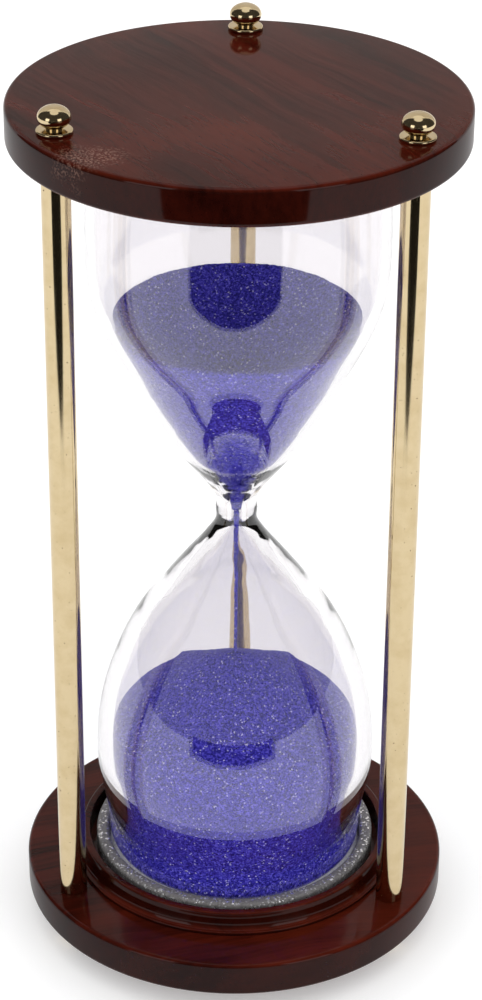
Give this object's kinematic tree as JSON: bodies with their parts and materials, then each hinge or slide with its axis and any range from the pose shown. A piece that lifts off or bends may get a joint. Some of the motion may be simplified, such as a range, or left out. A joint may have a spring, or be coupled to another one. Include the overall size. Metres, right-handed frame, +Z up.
{
  "type": "hourglass",
  "caption": "Round hourglass: clear blown glass with violet-blue sand, held between dark hardwood plates by brass posts with ball knobs at both ends.",
  "frame": {"origin": "on the hourglass's axis, level with the flats under the foot knobs", "axes": "+Z up along the hourglass's axis; +Y towards the back post; +X towards the front right post's side"},
  "size_m": [0.1, 0.1, 0.2117],
  "materials": {
    "plate_wood": "lacquered dark red-brown hardwood, glossy",
    "ring_wood": "lacquered dark red-brown hardwood, glossy",
    "gasket_foam": "silver-grey, finely glittering",
    "pad_felt": "grey felt",
    "brass": "polished and lacquered",
    "rod_steel": "threaded rod, bright zinc",
    "glass": "clear blown glass",
    "plug_cork": "cork",
    "sand": "dyed violet-blue sand with bright grains"
  },
  "bodies": {
    "frame": {"base_plate": "plate_wood", "base_ring": "ring_wood", "base_gasket": "gasket_foam", "base_pad": "pad_felt", "top_plate": "plate_wood", "top_ring": "ring_wood", "top_gasket": "gasket_foam", "top_pad": "pad_felt", "post_back": "brass", "tie_rod_back": "rod_steel", "post_front_left": "brass", "tie_rod_front_left": "rod_steel", "post_front_right": "brass", "tie_rod_front_right": "rod_steel", "base_washer_back": "brass", "top_washer_back": "brass", "base_washer_front_left": "brass", "top_washer_front_left": "brass", "base_washer_front_right": "brass", "top_washer_front_right": "brass", "glass": "glass", "fill_plug": "plug_cork", "upper_sand": "sand", "lower_sand": "sand", "sand_stream": "sand"},
    "foot_knob_back": {"foot_knob_back": "brass"},
    "top_knob_back": {"top_knob_back": "brass"},
    "foot_knob_front_left": {"foot_knob_front_left": "brass"},
    "top_knob_front_left": {"top_knob_front_left": "brass"},
    "foot_knob_front_right": {"foot_knob_front_right": "brass"},
    "top_knob_front_right": {"top_knob_front_right": "brass"}
  },
  "joints": [
    {"name": "foot_knob_back_turn", "type": "hinge", "parent": "frame", "child": "foot_knob_back", "pos_m": [0, 0.0432, 0], "axis": [0, 0, -1], "continuous": true},
    {"name": "top_knob_back_turn", "type": "hinge", "parent": "frame", "child": "top_knob_back", "pos_m": [0, 0.0432, 0.21175], "axis": [0, 0, 1], "continuous": true},
    {"name": "foot_knob_front_left_turn", "type": "hinge", "parent": "frame", "child": "foot_knob_front_left", "pos_m": [-0.03741, -0.0216, 0], "axis": [0, 0, -1], "continuous": true},
    {"name": "top_knob_front_left_turn", "type": "hinge", "parent": "frame", "child": "top_knob_front_left", "pos_m": [-0.03741, -0.0216, 0.21175], "axis": [0, 0, 1], "continuous": true},
    {"name": "foot_knob_front_right_turn", "type": "hinge", "parent": "frame", "child": "foot_knob_front_right", "pos_m": [0.03741, -0.0216, 0], "axis": [0, 0, -1], "continuous": true},
    {"name": "top_knob_front_right_turn", "type": "hinge", "parent": "frame", "child": "top_knob_front_right", "pos_m": [0.03741, -0.0216, 0.21175], "axis": [0, 0, 1], "continuous": true}
  ]
}
